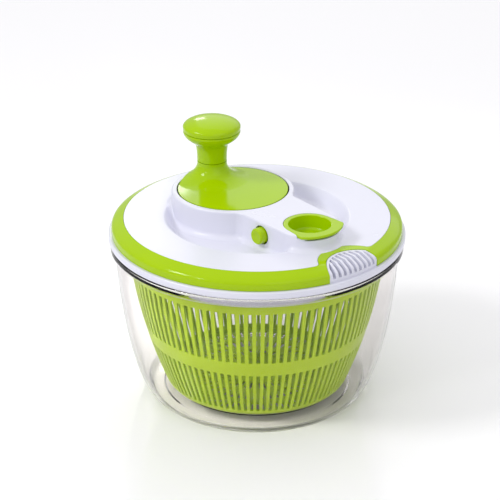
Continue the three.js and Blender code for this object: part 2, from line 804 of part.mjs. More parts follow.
class SpringCurve extends THREE.Curve {
  getPoint(t, target = new THREE.Vector3()) {
    const radius = brake.stemRadius + 2 * brake.wireRadius + gap;
    const turn = t * brake.coils * 2 * Math.PI;
    const from = collarBack + brake.wireRadius + gap;
    const to = guideY - brake.wireRadius - gap;
    const y = from + (to - from) * t;
    return target.set(brake.x + radius * Math.cos(turn), y, brakeHeight + radius * Math.sin(turn));
  }
}

function makeSpring() {
  const wire = new THREE.Shape().absarc(0, 0, brake.wireRadius, 0, 2 * Math.PI, false);
  const steps = brake.coils * 8;
  const options = { steps, extrudePath: new SpringCurve(), curveSegments: 3, bevelEnabled: false };
  return solid(new THREE.ExtrudeGeometry(wire, options));
}

function makeBrakePin() {
  const [x, y] = brake.pivot;
  return post(brake.pinRadius, lidFloor + 0.6, leverTop + 1.6, x, y).add(
    post(brake.pinRadius + 1, leverTop + gap, leverTop + 1.6, x, y),
  );
}

// ---- filler cap ---------------------------------------------------------------------------------

function makeFiller() {
  const bottom = platformTop - filler.depth;
  const cup = post(filler.wellRadius + filler.wall, bottom, platformTop - 0.5, fillerX, 0, mediumSides);
  const rim = prism(fillerShape(0), platformTop - filler.rim, platformTop);
  const well = post(filler.wellRadius, bottom + 2, platformTop + 1, fillerX, 0, mediumSides);
  return cup.add(rim).subtract(well);
}

// ---- assembly -----------------------------------------------------------------------------------

const finishes = {
  clear: { color: 0xdfe3e0, roughness: 0.06, metalness: 0, transparent: true, opacity: 0.35 },
  white: { color: 0xeeeef6, roughness: 0.28, metalness: 0 },
  green: { color: 0xa2d000, roughness: 0.22, metalness: 0 },
  leaf: { color: 0xb2cd3e, roughness: 0.35, metalness: 0 },
  acetal: { color: 0xf2f0e8, roughness: 0.4, metalness: 0 },
  steel: { color: 0xb8bbc0, roughness: 0.3, metalness: 1 },
  rubber: { color: 0x2b2b2b, roughness: 0.85, metalness: 0 },
};

const group = new THREE.Group();

// Adds a solid to the group as a named mesh with a finish.
function place(name, made, finish) {
  const mesh = made.getMesh();
  const geometry = new THREE.BufferGeometry();
  geometry.setAttribute("position", new THREE.BufferAttribute(mesh.vertProperties, 3));
  geometry.setIndex(new THREE.BufferAttribute(mesh.triVerts, 1));
  geometry.computeVertexNormals();
  const part = new THREE.Mesh(geometry, new THREE.MeshStandardMaterial(finishes[finish]));
  part.name = name;
  group.add(part);
}

place("bowl", makeBowl(), "clear");
place("basket_bearing", makeBearing(), "acetal");
place("basket", makeBasket(), "leaf");

place("lid_base", makeLidBase(), "white");
place("lid_cover", makeCover(), "white");
place("rim_band", makeBand(), "green");
screwPlaces().forEach(([x, y], i) => {
  const made = screw(x, y, flangeBottom - screwHead - gap, 10, lid.screwRadius, 3.2);
  place(`lid_screw_${i + 1}`, made, "steel");
});

place("crank_disc", makeCrankDisc(), "green");
place("ring_gear", makeRingGear(), "acetal");
gearScrewPlaces().forEach(([x, y], i) => {
  const made = screw(crankX + x, y, webBottom - screwHead - gap, 4.2, crank.screwRadius, 3);
  place(`gear_screw_${i + 1}`, made, "steel");
});
const washerTop = flangeBottom - gap;
const washerBore = post(crank.screwRadius + gap, 0, platformTop, crankX);
const washerBottom = washerTop - crank.washer;
const crankWasher = post(crank.washerRadius, washerBottom, washerTop, crankX).subtract(washerBore);
place("crank_washer", crankWasher, "steel");
const crankScrew = screw(crankX, 0, washerBottom - screwHead - gap, 14, crank.screwRadius, 3.4);
place("crank_screw", crankScrew, "steel");

const postTop = seamHeight + knob.postHeight;
const knobBore = post(crank.screwRadius + gap, postTop - 5, postTop + 5, knobX);
const knobWasher = post(knob.washerRadius, postTop + gap, postTop + gap + 1, knobX).subtract(knobBore);
place("knob_washer", knobWasher, "steel");
place("knob_screw", screw(knobX, 0, postTop + 1 + 2 * gap, 12, crank.screwRadius, 3.6, false), "steel");
place("knob_grip", makeGrip(), "green");
place("knob_cap", makeCap(), "green");

place("drive_pinion", makePinion(), "acetal");
place("drive_shaft", makeShaft(), "steel");
place("drive_plate", makeDrivePlate(), "white");
place("drive_screw", screw(0, 0, shaftBottom - screwHead - gap, 12, drive.screwRadius, 6), "steel");

place("brake_button", makeButton(), "green");
place("brake_spring", makeSpring(), "steel");
place("brake_lever", makeLever(), "acetal");
place("brake_shoe", makeShoe(), "rubber");
place("brake_pin", makeBrakePin(), "steel");

place("filler_cap", makeFiller(), "green");

export default group;
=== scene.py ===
import json
import math
import bmesh
import bpy
from mathutils import Matrix, Vector
from mathutils.geometry import interpolate_bezier


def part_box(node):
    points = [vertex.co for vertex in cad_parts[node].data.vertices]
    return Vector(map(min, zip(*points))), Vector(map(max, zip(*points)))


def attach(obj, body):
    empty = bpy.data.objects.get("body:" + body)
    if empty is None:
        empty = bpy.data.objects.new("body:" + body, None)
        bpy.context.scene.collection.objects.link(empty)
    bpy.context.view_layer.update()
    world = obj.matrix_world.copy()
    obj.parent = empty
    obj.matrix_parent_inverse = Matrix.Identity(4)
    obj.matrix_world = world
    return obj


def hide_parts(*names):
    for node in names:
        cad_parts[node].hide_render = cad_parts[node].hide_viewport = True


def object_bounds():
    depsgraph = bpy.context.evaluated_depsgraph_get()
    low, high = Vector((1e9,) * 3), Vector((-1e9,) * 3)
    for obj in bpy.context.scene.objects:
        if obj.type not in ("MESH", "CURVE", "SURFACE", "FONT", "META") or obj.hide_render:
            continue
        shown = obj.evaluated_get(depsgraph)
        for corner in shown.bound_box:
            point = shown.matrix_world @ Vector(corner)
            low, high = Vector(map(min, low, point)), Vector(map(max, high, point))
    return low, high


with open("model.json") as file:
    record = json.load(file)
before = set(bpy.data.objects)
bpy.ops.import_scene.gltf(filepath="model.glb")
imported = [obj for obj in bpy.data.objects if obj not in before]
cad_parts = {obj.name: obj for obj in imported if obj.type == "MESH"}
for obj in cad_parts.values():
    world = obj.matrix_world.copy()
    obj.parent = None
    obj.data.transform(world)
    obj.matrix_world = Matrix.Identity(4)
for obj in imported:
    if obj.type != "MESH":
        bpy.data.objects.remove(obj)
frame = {"nodes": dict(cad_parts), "record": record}
cadLow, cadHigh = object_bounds()

# Everything below is drawn in millimetres and made metres when a piece is finished.
perMetre = 1000.0


def boxOf(node):
    low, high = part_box(node)
    return low * perMetre, high * perMetre


def middleOf(node):
    low, high = boxOf(node)
    return (low + high) / 2


# Levels and centres that more than one piece shares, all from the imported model.
bowlHigh = boxOf("bowl")[1]
basketLow, basketHigh = boxOf("basket")
baseLow, baseHigh = boxOf("lid_base")
coverHigh = boxOf("lid_cover")[1]
bandLow, bandHigh = boxOf("rim_band")
gap = 0.3
flangeTop = bandLow.z - gap
deckTop = bandHigh.z
platformTop = coverHigh.z
crankX = middleOf("ring_gear").x
fillerX = boxOf("filler_cap")[1].x - 25.5
brakeHeight = middleOf("brake_spring").z
knobX = middleOf("knob_cap").x
buttonX = middleOf("brake_button").x
fullTurn = 2 * math.pi



def roundCorners(points, steps=5):
    # a point is (x, y), or (x, y, radius) where its corner is rounded by an arc
    made = []
    for i, point in enumerate(points):
        here = Vector(point[:2])
        if len(point) < 3:
            made.append(here)
            continue
        back = (Vector(points[i - 1][:2]) - here).normalized()
        ahead = (Vector(points[(i + 1) % len(points)][:2]) - here).normalized()
        half = back.angle(ahead) / 2
        centre = here + (back + ahead).normalized() * point[2] / math.sin(half)
        first = here + back * point[2] / math.tan(half) - centre
        last = here + ahead * point[2] / math.tan(half) - centre
        for k in range(steps + 1):
            made.append(centre + first.lerp(last, k / steps).normalized() * point[2])
    return made


def curvePoints(start, handleA, handleB, end, count):
    corners = [Vector((x, y, 0)) for x, y in (start, handleA, handleB, end)]
    return [(p.x, p.y) for p in interpolate_bezier(*corners, count)]


def arcPoints(centre, radius, fromDegrees, toDegrees, steps):
    turns = [math.radians(fromDegrees + (toDegrees - fromDegrees) * k / steps) for k in range(steps + 1)]
    return [(centre[0] + radius * math.cos(a), centre[1] + radius * math.sin(a)) for a in turns]


def offsetLine(points, distance):
    moved = []
    for i, here in enumerate(points):
        before = Vector(points[max(i - 1, 0)])
        after = Vector(points[min(i + 1, len(points) - 1)])
        along = (after - before).normalized()
        moved.append((here[0] - along.y * distance, here[1] + along.x * distance))
    return moved


def spinShape(outline, steps, centre=(0, 0), closed=False):
    # turns an outline of (radius, height) once round an upright axis
    bm = bmesh.new()
    verts = [bm.verts.new((p[0], 0, p[1])) for p in outline]
    edges = [bm.edges.new(pair) for pair in zip(verts, verts[1:])]
    if closed:
        edges.append(bm.edges.new((verts[-1], verts[0])))
    bmesh.ops.spin(bm, geom=verts + edges, cent=(0, 0, 0), axis=(0, 0, 1), dvec=(0, 0, 0), angle=fullTurn,
                   steps=steps, use_merge=True, use_normal_flip=False, use_duplicate=False)
    bmesh.ops.remove_doubles(bm, verts=bm.verts, dist=0.002)
    bmesh.ops.recalc_face_normals(bm, faces=bm.faces)
    bmesh.ops.translate(bm, verts=bm.verts, vec=(*centre, 0))
    return bm


def prismShape(outline, bottom, top):
    bm = bmesh.new()
    face = bm.faces.new([bm.verts.new((p[0], p[1], bottom)) for p in outline])
    grown = bmesh.ops.extrude_face_region(bm, geom=[face])["geom"]
    verts = [v for v in grown if isinstance(v, bmesh.types.BMVert)]
    bmesh.ops.translate(bm, verts=verts, vec=(0, 0, top - bottom))
    bmesh.ops.recalc_face_normals(bm, faces=bm.faces)
    return bm


def rodShape(radius, bottom, top, centre=(0, 0), steps=48):
    return spinShape([(0, bottom), (radius, bottom), (radius, top), (0, top)], steps, centre)


def tubeShape(inner, outer, bottom, top, centre=(0, 0), steps=48):
    outline = [(inner, bottom), (outer, bottom), (outer, top), (inner, top)]
    return spinShape(outline, steps, centre, closed=True)


def blockShape(low, high):
    bm = bmesh.new()
    bmesh.ops.create_cube(bm, size=1)
    low, high = Vector(low), Vector(high)
    bmesh.ops.scale(bm, verts=bm.verts, vec=high - low)
    bmesh.ops.translate(bm, verts=bm.verts, vec=(low + high) / 2)
    return bm


def loftShape(loops):
    # bridges one closed loop of points to the next and closes both ends
    bm = bmesh.new()
    rings = []
    for loop in loops:
        verts = [bm.verts.new(p) for p in loop]
        rings.append([bm.edges.new((v, verts[i - 1])) for i, v in enumerate(verts)])
    for low, high in zip(rings, rings[1:]):
        bmesh.ops.bridge_loops(bm, edges=low + high)
    bmesh.ops.contextual_create(bm, geom=rings[0])
    bmesh.ops.contextual_create(bm, geom=rings[-1])
    bmesh.ops.recalc_face_normals(bm, faces=bm.faces)
    return bm


def layAlongY(bm, at):
    # tips an upright shape over so that its height runs back along Y, then moves it to its place
    bmesh.ops.rotate(bm, verts=bm.verts, cent=(0, 0, 0), matrix=Matrix.Rotation(-math.pi / 2, 3, "X"))
    bmesh.ops.translate(bm, verts=bm.verts, vec=at)
    return bm


def joinShapes(shapes):
    joined = bmesh.new()
    for bm in shapes:
        mesh = bpy.data.meshes.new("part")
        bm.to_mesh(mesh)
        bm.free()
        joined.from_mesh(mesh)
        bpy.data.meshes.remove(mesh)
    return joined


def carve(bm, tool, operation="DIFFERENCE"):
    # one solid cut by another, or kept only where it lies inside it
    objects = []
    for shape in (bm, tool):
        mesh = bpy.data.meshes.new("carve")
        shape.to_mesh(mesh)
        shape.free()
        objects.append(bpy.data.objects.new("carve", mesh))
        bpy.context.scene.collection.objects.link(objects[-1])
    modifier = objects[0].modifiers.new("carve", "BOOLEAN")
    modifier.object = objects[1]
    modifier.operation = operation
    modifier.solver = "EXACT"
    made = bmesh.new()
    made.from_object(objects[0], bpy.context.evaluated_depsgraph_get())
    for one in objects:
        bpy.data.meshes.remove(one.data)
    return made


def bevelSharp(bm, width, segments=3, angle=40):
    limit = math.radians(angle)
    sharp = [e for e in bm.edges if len(e.link_faces) == 2 and e.calc_face_angle(0) > limit]
    bmesh.ops.bevel(bm, geom=sharp, offset=width, affect="EDGES", segments=segments, profile=0.5,
                    material=-1, clamp_overlap=True)
    return bm


def finishPiece(name, bm, body, material, replaced=(), wall=0, bevel=0, sharpAngle=38):
    bmesh.ops.scale(bm, verts=bm.verts, vec=Vector((1, 1, 1)) / perMetre)
    for face in bm.faces:
        face.smooth = True
    for edge in bm.edges:
        edge.smooth = len(edge.link_faces) == 2 and edge.calc_face_angle(0) < math.radians(sharpAngle)
    mesh = bpy.data.meshes.new(name)
    bm.to_mesh(mesh)
    bm.free()
    mesh.materials.append(material)
    piece = bpy.data.objects.new(name, mesh)
    bpy.context.scene.collection.objects.link(piece)
    if wall:
        thicken = piece.modifiers.new("wall", "SOLIDIFY")
        thicken.thickness = wall / perMetre
        thicken.offset = -1
        thicken.use_even_offset = True
    if bevel:
        soften = piece.modifiers.new("edges", "BEVEL")
        soften.width = bevel / perMetre
        soften.segments = 1 if wall else 2
        soften.limit_method = "ANGLE"
        soften.angle_limit = math.radians(40)
        soften.harden_normals = True
    even = piece.modifiers.new("normals", "WEIGHTED_NORMAL")
    even.keep_sharp = True
    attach(piece, body)
    if replaced:
        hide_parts(*replaced)
    return piece



def linearColour(code):
    channels = [int(code[i:i + 2], 16) / 255 for i in (1, 3, 5)]
    linear = [c / 12.92 if c <= 0.04045 else ((c + 0.055) / 1.055) ** 2.4 for c in channels]
    return (*linear, 1)


def addNode(tree, kind, settings=None, links=None):
    # one node, its own settings or socket values by name, and what feeds it as (node, output)
    node = tree.nodes.new("ShaderNode" + kind)
    for key, value in (settings or {}).items():
        if key in node.inputs:
            node.inputs[key].default_value = value
        else:
            setattr(node, key, value)
    for socket, (source, output) in (links or {}).items():
        tree.links.new(source.outputs[output], node.inputs[socket])
    return node


def newMaterial(name):
    material = bpy.data.materials.new(name)
    material.use_nodes = True
    material.node_tree.nodes.clear()
    return material, material.node_tree


def mouldedPlastic(name, look):
    # colour drifts a little where the melt flowed, gloss varies with handling, and the tool's
    # spark grain, a tenth of a millimetre in life, is drawn coarser so that it catches the light
    material, tree = newMaterial(name)
    place = addNode(tree, "TexCoord")
    flow = addNode(tree, "TexNoise", {"Scale": 1 / look["flowSize"], "Detail": 3.0},
                   {"Vector": (place, "Object")})
    tint = addNode(tree, "Mix", {"data_type": "RGBA"}, {"Factor": (flow, "Fac")})
    tint.inputs[6].default_value = linearColour(look["colour"])
    tint.inputs[7].default_value = linearColour(look["flowColour"])
    wear = addNode(tree, "TexNoise", {"Scale": 1 / look["wearSize"], "Detail": 5.0, "Roughness": 0.6},
                   {"Vector": (place, "Object")})
    gloss = addNode(tree, "MapRange", {"From Min": 0.3, "From Max": 0.7,
                                       "To Min": look["roughness"][0], "To Max": look["roughness"][1]},
                    {"Value": (wear, "Fac")})
    grain = addNode(tree, "TexNoise", {"Scale": 1 / look["grainSize"], "Detail": 2.0},
                    {"Vector": (place, "Object")})
    relief = addNode(tree, "Bump", {"Strength": look["grainStrength"], "Distance": look["grainDepth"]},
                     {"Height": (grain, "Fac")})
    shader = addNode(tree, "BsdfPrincipled", {"IOR": look["ior"]},
                     {"Base Color": (tint, 2), "Roughness": (gloss, "Result"), "Normal": (relief, "Normal")})
    for key, value in look.get("extra", {}).items():
        shader.inputs[key].default_value = value
    addNode(tree, "OutputMaterial", {}, {"Surface": (shader, "BSDF")})
    return material


def clearPlastic(name, look):
    # SAN: clear with a breath of grey, faint waves from the mould, and lamps shine through it;
    # its index is set well under SAN's own, as the thick rim traps light and turns black at that
    material, tree = newMaterial(name)
    place = addNode(tree, "TexCoord")
    wave = addNode(tree, "TexNoise", {"Scale": 1 / look["waveSize"], "Detail": 1.0},
                   {"Vector": (place, "Object")})
    relief = addNode(tree, "Bump", {"Strength": look["waveStrength"], "Distance": look["waveDepth"]},
                     {"Height": (wave, "Fac")})
    haze = addNode(tree, "TexNoise", {"Scale": 1 / look["hazeSize"], "Detail": 4.0},
                   {"Vector": (place, "Object")})
    gloss = addNode(tree, "MapRange", {"To Min": look["roughness"][0], "To Max": look["roughness"][1]},
                    {"Value": (haze, "Fac")})
    shader = addNode(tree, "BsdfPrincipled",
                     {"Base Color": linearColour(look["colour"]), "IOR": look["ior"],
                      "Transmission Weight": 1.0},
                     {"Roughness": (gloss, "Result"), "Normal": (relief, "Normal")})
    through = addNode(tree, "BsdfTransparent", {"Color": linearColour(look["shadowColour"])})
    ray = addNode(tree, "LightPath")
    mix = addNode(tree, "MixShader", {}, {"Fac": (ray, "Is Shadow Ray")})
    tree.links.new(shader.outputs["BSDF"], mix.inputs[1])
    tree.links.new(through.outputs["BSDF"], mix.inputs[2])
    addNode(tree, "OutputMaterial", {}, {"Surface": (mix, "Shader")})
    return material


def platedSteel(name, look):
    # zinc-plated wire and screws: fine drawing lines that break the shine into streaks
    material, tree = newMaterial(name)
    place = addNode(tree, "TexCoord")
    turn = addNode(tree, "Mapping", {"Scale": look["streakStretch"]}, {"Vector": (place, "Object")})
    streak = addNode(tree, "TexNoise", {"Scale": 1 / look["streakSize"], "Detail": 3.0},
                     {"Vector": (turn, "Vector")})
    gloss = addNode(tree, "MapRange", {"To Min": look["roughness"][0], "To Max": look["roughness"][1]},
                    {"Value": (streak, "Fac")})
    tint = addNode(tree, "Mix", {"data_type": "RGBA"}, {"Factor": (streak, "Fac")})
    tint.inputs[6].default_value = linearColour(look["colour"])
    tint.inputs[7].default_value = linearColour(look["streakColour"])
    relief = addNode(tree, "Bump", {"Strength": 0.2, "Distance": look["streakDepth"]},
                     {"Height": (streak, "Fac")})
    shader = addNode(tree, "BsdfPrincipled", {"Metallic": 1.0},
                     {"Base Color": (tint, 2), "Roughness": (gloss, "Result"), "Normal": (relief, "Normal")})
    addNode(tree, "OutputMaterial", {}, {"Surface": (shader, "BSDF")})
    return material


plasticLooks = {
    # glossy white ABS with a cool cast, polished tool
    "whiteAbs": {"colour": "#E4E4F0", "flowColour": "#DEDEEC", "flowSize": 0.05, "wearSize": 0.03,
                 "roughness": (0.2, 0.28), "grainSize": 0.0008, "grainStrength": 0.12,
                 "grainDepth": 0.00003, "ior": 1.42},
    # glossy lime ABS, the colour of the touch parts
    "limeAbs": {"colour": "#A8CA00", "flowColour": "#A2C600", "flowSize": 0.04, "wearSize": 0.025,
                "roughness": (0.09, 0.15), "grainSize": 0.0008, "grainStrength": 0.1,
                "grainDepth": 0.00003, "ior": 1.32},
    # satin polypropylene, slightly milky, so that light spreads in its thin ribs
    "leafPolypropylene": {"colour": "#C8E62E", "flowColour": "#C2E026", "flowSize": 0.03, "wearSize": 0.02,
                          "roughness": (0.3, 0.42), "grainSize": 0.001, "grainStrength": 0.2,
                          "grainDepth": 0.00004, "ior": 1.38},
    # natural acetal for gears and bearing, waxy and slippery
    "naturalAcetal": {"colour": "#EDEAE0", "flowColour": "#E6E2D6", "flowSize": 0.02, "wearSize": 0.01,
                      "roughness": (0.3, 0.42), "grainSize": 0.0006, "grainStrength": 0.2,
                      "grainDepth": 0.00003, "ior": 1.48},
    # nitrile rubber for the brake shoe, dull with a fine grain
    "nitrileRubber": {"colour": "#262626", "flowColour": "#2E2D2C", "flowSize": 0.01, "wearSize": 0.004,
                      "roughness": (0.7, 0.85), "grainSize": 0.0005, "grainStrength": 0.5,
                      "grainDepth": 0.00005, "ior": 1.52},
}
clearLook = {"colour": "#F5F3F2", "shadowColour": "#FAFAF8", "ior": 1.23, "roughness": (0.0, 0.03),
             "waveSize": 0.03, "waveStrength": 0.25, "waveDepth": 0.0002, "hazeSize": 0.02}
steelLook = {"colour": "#C9CBCC", "streakColour": "#B4B7BA", "roughness": (0.2, 0.38),
             "streakSize": 0.0012, "streakStretch": (1.0, 1.0, 0.15), "streakDepth": 0.00002}

white, lime, leaf, acetal, rubber = [mouldedPlastic(name, look) for name, look in plasticLooks.items()]
clear = clearPlastic("clearSan", clearLook)
steel = platedSteel("zincPlatedSteel", steelLook)
slotMaterials = {"bowl_clear": clear, "lid_white": white, "lid_green": lime, "basket_green": leaf,
                 "acetal": acetal, "steel": steel, "rubber": rubber}
for part in frame["record"]["subparts"]:
    node = frame["nodes"][part["node"]]
    node.data.materials.clear()
    node.data.materials.append(slotMaterials[part["material_slot"]])
print("materials made")


bowlSizes = {"wall": 2.4, "lipOverhang": 4, "lipHeight": 6, "footRadius": 90.8, "footWidth": 11,
             "footRise": 3, "footHandle": (16.2, 12), "neckHandle": (1.5, 50), "neckDrop": 8,
             "spigotRadius": 7, "spigotHeight": 9, "floorRing": 72, "floorRingHeight": 0.7, "steps": 144}


def makeBowl(s):
    rim, top = bowlHigh.x, bowlHigh.z
    neck = rim - s["lipOverhang"]
    neckHeight = top - s["neckDrop"]
    footLean = (s["footRadius"] + s["footHandle"][0], s["footHandle"][1])
    neckLean = (neck - s["neckHandle"][0], neckHeight - s["neckHandle"][1])
    outer = curvePoints((s["footRadius"], 0), footLean, neckLean, (neck, neckHeight), 26)
    floor = s["footRise"] + s["wall"]
    inner = [p for p in offsetLine(outer, s["wall"]) if p[1] > floor + 2]
    footInner = s["footRadius"] - s["footWidth"]
    ring, lift = s["floorRing"], s["floorRingHeight"]
    spigotTop = floor + s["spigotHeight"]
    outline = roundCorners([
        (0, s["footRise"]), (footInner, s["footRise"], 0.8), (footInner + 1, 0, 0.6),
        (s["footRadius"], 0, 0.9), *outer[1:],
        (rim, top - s["lipHeight"], 1.2), (rim, top, 1.1), (rim - s["wall"], top, 1.1),
        (neck - s["wall"], top - s["lipHeight"] - 1), *reversed(inner),
        (s["footRadius"] - s["wall"], floor, 2),
        (ring, floor), (ring - 0.6, floor + lift), (ring - 2.4, floor + lift), (ring - 3, floor),
        (s["spigotRadius"] + 1, floor, 0.8), (s["spigotRadius"], floor + 1.2),
        (s["spigotRadius"], spigotTop, 0.8), (0, spigotTop)])
    bm = spinShape(outline, s["steps"])
    finishPiece("clearBowl", bm, "bowl", clear, ["bowl"])


makeBowl(bowlSizes)
print("bowl made")


basketSizes = {"floorRadius": 77.7, "neckRadius": 108.3, "firstLean": 49.6, "lastLean": -19.0, "wall": 1.9,
               "slots": 98, "lowerRow": (5, 45.5), "upperRow": (59, 108), "rimHeight": 3, "rimReach": 2.1,
               "floorRows": ((24, 36, 4), (42, 54, 4), (60, 71, 2)), "hubRadius": 13.4, "hubHeight": 9.7,
               "rowSteps": 6, "edge": 0.3}


def makeBasket(s):
    columns = 2 * s["slots"]
    bottom = basketLow.z
    height = basketHigh.z - s["rimHeight"] - bottom

    def wallPoint(rise):
        share = rise / height
        return (s["floorRadius"] + s["firstLean"] * share + s["lastLean"] * share ** 2, bottom + rise)

    floorLine = [(0, s["hubHeight"] + bottom), (s["hubRadius"] - 1, s["hubHeight"] + bottom),
                 (s["hubRadius"], s["hubHeight"] + bottom - 1), (s["hubRadius"], bottom)]
    for start, end, _ in s["floorRows"]:
        floorLine += [(start, bottom), (end, bottom)]
    floorLine += [(s["floorRadius"] - 2.5, bottom), (s["floorRadius"] - 0.6, bottom + 0.7)]
    rises = [2.5]
    for low, high in (s["lowerRow"], s["upperRow"]):
        rises += [low + (high - low) * k / s["rowSteps"] for k in range(s["rowSteps"] + 1)]
    rises += [height - 6, height]
    rim = [(s["neckRadius"] + s["rimReach"], basketHigh.z - s["rimHeight"] + 0.6),
           (s["neckRadius"] + s["rimReach"], basketHigh.z)]
    bm = spinShape([*floorLine, *[wallPoint(rise) for rise in rises], *rim], columns)

    gone = []
    for face in bm.faces:
        middle = face.calc_center_median()
        radius = middle.xy.length
        column = int(math.atan2(middle.y, middle.x) % fullTurn / fullTurn * columns)
        rise = middle.z - bottom
        inWall = any(low < rise < high for low, high in (s["lowerRow"], s["upperRow"]))
        if inWall and column % 2 == 0:
            gone.append(face)
        for start, end, pitch in s["floorRows"]:
            if rise < 1 and start < radius < end and column % pitch < pitch / 2:
                gone.append(face)
    bmesh.ops.delete(bm, geom=gone, context="FACES")
    finishPiece("slottedBasket", bm, "basket", leaf, ["basket"], wall=s["wall"],
                bevel=s["edge"])


makeBasket(basketSizes)
print("basket made")


baseSizes = {"flangeThickness": 5.5, "floor": 2.5, "skirtOuter": 115.9, "skirtWall": 1.8, "seatRadius": 123.4,
             "mouth": 108.5, "shaftHole": 4.3, "axleHole": 6.2, "fillerHole": 17.4, "screwHole": 1.8,
             "bossRadius": 8.5, "axlePost": 9.8, "window": 17, "steps": 144}


def makeLidBase(s):
    under = flangeTop - s["flangeThickness"]
    floor = under + s["floor"]
    reach = baseHigh.x
    skirtInner = s["skirtOuter"] - s["skirtWall"]
    outline = roundCorners([
        (0, under), (skirtInner, under), (skirtInner, baseLow.z, 0.5),
        (s["skirtOuter"], baseLow.z, 0.8), (s["skirtOuter"], under - 1), (s["seatRadius"], under - 1, 0.3),
        (s["seatRadius"], under), (reach, under, 0.9), (reach, flangeTop, 1.3), (s["mouth"], flangeTop),
        (s["mouth"] - 2, floor), (0, floor)], 4)
    shell = spinShape(outline, s["steps"])
    screws = [tuple(middleOf(f"lid_screw_{i}").xy) for i in (1, 2, 3, 4)]
    pin = middleOf("brake_pin")
    holes = [rodShape(s["shaftHole"], under - 5, floor + 5),
             rodShape(s["axleHole"], under - 5, floor + 5, (crankX, 0)),
             rodShape(s["fillerHole"], under - 5, floor + 5, (fillerX, 0)),
             blockShape((99, -s["window"], under - 5), (112, s["window"], flangeTop + 1)),
             *[rodShape(s["screwHole"], under - 5, floor + 5, at, 16) for at in screws]]
    shell = carve(shell, joinShapes(holes))
    guideY = boxOf("brake_button")[1].y - 4
    lever = boxOf("brake_lever")[0].z
    stands = [tubeShape(s["shaftHole"], s["bossRadius"], under - 3, boxOf("drive_pinion")[0].z - gap),
              tubeShape(s["axleHole"], s["axlePost"], floor - 0.5, boxOf("ring_gear")[0].z - 1, (crankX, 0)),
              tubeShape(2.1, 4, floor - 0.5, lever - gap, tuple(pin.xy), 24),
              tubeShape(s["fillerHole"], s["fillerHole"] + 2, floor - 0.5, floor + 6, (fillerX, 0)),
              blockShape((buttonX - 6, guideY, floor - 0.5), (buttonX - 3.4, guideY + 3, baseHigh.z)),
              blockShape((buttonX + 3.4, guideY, floor - 0.5), (buttonX + 6, guideY + 3, baseHigh.z))]
    finishPiece("lidBase", joinShapes([shell, *stands]), "lid", white, ["lid_base"])


makeLidBase(baseSizes)
print("lid base made")


bandSizes = {"innerRadius": 111.8, "outerRadius": bandHigh.y, "shoulder": 5.1, "archCentre": 119.5,
             "archRadius": 29, "archFillet": 5, "edge": 0.5, "steps": 144}
grilleSizes = {"slots": 9, "width": 2.9, "pitch": 2.5, "inner": 97, "through": 118, "sill": 3, "sink": 0.5,
               "centre": 125.5, "radius": 26.5, "border": 2.2}


def bandProfile(s, inset):
    # the lid's outer shoulder, from its foot to the flat deck
    outer, top = s["outerRadius"] - inset, deckTop - inset
    return [(outer, flangeTop + gap),
            *curvePoints((outer, flangeTop + s["shoulder"]), (outer, flangeTop + s["shoulder"] + 3.6),
                         (s["innerRadius"] + 4.6, top - 2.4), (s["innerRadius"], top), 12)]


def deckPlan(s, offset):
    # the white deck seen from above: a circle with a bay round the grille and rounded cusps
    radius, arch, fillet = s["innerRadius"] + offset, s["archRadius"] - offset, s["archFillet"] + offset
    centre = s["archCentre"]
    far, near = s["innerRadius"] - s["archFillet"], s["archRadius"] + s["archFillet"]
    x = (far ** 2 - near ** 2 + centre ** 2) / (2 * centre)
    y = math.sqrt(far ** 2 - x ** 2)
    fromLid = math.degrees(math.atan2(y, x))
    fromArch = math.degrees(math.atan2(y, x - centre))
    points = arcPoints((0, 0), radius, fromLid, 360 - fromLid, 120)
    points += arcPoints((x, -y), fillet, -fromLid, -fromLid + (180 - fromArch + fromLid), 6)[1:]
    points += arcPoints((centre, 0), arch, 360 - fromArch, fromArch, 40)[1:]
    points += arcPoints((x, y), fillet, fromArch - 180, fromLid, 6)[1:-1]
    return points


def makeBand(s):
    top = deckTop + 5
    body = spinShape([(0, flangeTop + gap), *bandProfile(s, 0), (0, deckTop)], s["steps"])
    body = carve(body, prismShape(deckPlan(s, 0), flangeTop - 5, top))
    mouth = grilleSizes["radius"]
    body = carve(body, rodShape(mouth, flangeTop - 5, top, (grilleSizes["centre"], 0), 96))
    bevelSharp(body, s["edge"], 2, 50)
    finishPiece("rimBand", body, "lid", lime, ["rim_band"])


def makeGrille(s, g):
    body = spinShape([(0, flangeTop - 1), (s["outerRadius"] - g["sink"], flangeTop - 1),
                      *bandProfile(s, g["sink"]), (0, deckTop - g["sink"])], s["steps"])
    rod = rodShape(g["radius"] - gap, flangeTop - 0.9, deckTop + 5, (g["centre"], 0), 96)
    body = carve(body, rod, "INTERSECT")
    slots = []
    for i in range(g["slots"]):
        half = g["width"] / 2
        slot = blockShape((g["inner"], -half, flangeTop + g["sill"]),
                          (s["outerRadius"] + 5, half, deckTop + 5))
        through = blockShape((g["inner"], -half, flangeTop - 5), (g["through"], half, deckTop))
        bar = carve(slot, through, "UNION")
        turn = Matrix.Rotation(math.radians((i - (g["slots"] - 1) / 2) * g["pitch"]), 3, "Z")
        bmesh.ops.rotate(bar, verts=bar.verts, cent=(0, 0, 0), matrix=turn)
        slots.append(bar)
    inside = rodShape(g["radius"] - g["border"], flangeTop - 6, deckTop + 6, (g["centre"], 0), 96)
    body = carve(body, carve(joinShapes(slots), inside, "INTERSECT"))
    finishPiece("pouringGrille", body, "lid", white, bevel=0.3)


makeBand(bandSizes)
makeGrille(bandSizes, grilleSizes)
print("band and grille made")


coverSizes = {"wall": 2, "recessDepth": 10, "recessFloor": 67.5, "recessLip": 78.5, "hubRadius": 52,
              "armEnd": 27, "armEndX": 62.7, "armSpread": 2.1, "cove": 11, "flare": 5, "topRound": 1.6,
              "boreRadius": 47.8, "endDropFrom": 15.5, "endDrop": 4.3, "foot": 146, "seatDepth": 2.6,
              "cupHole": 19.4, "buttonHole": 8.1, "edge": 0.45}


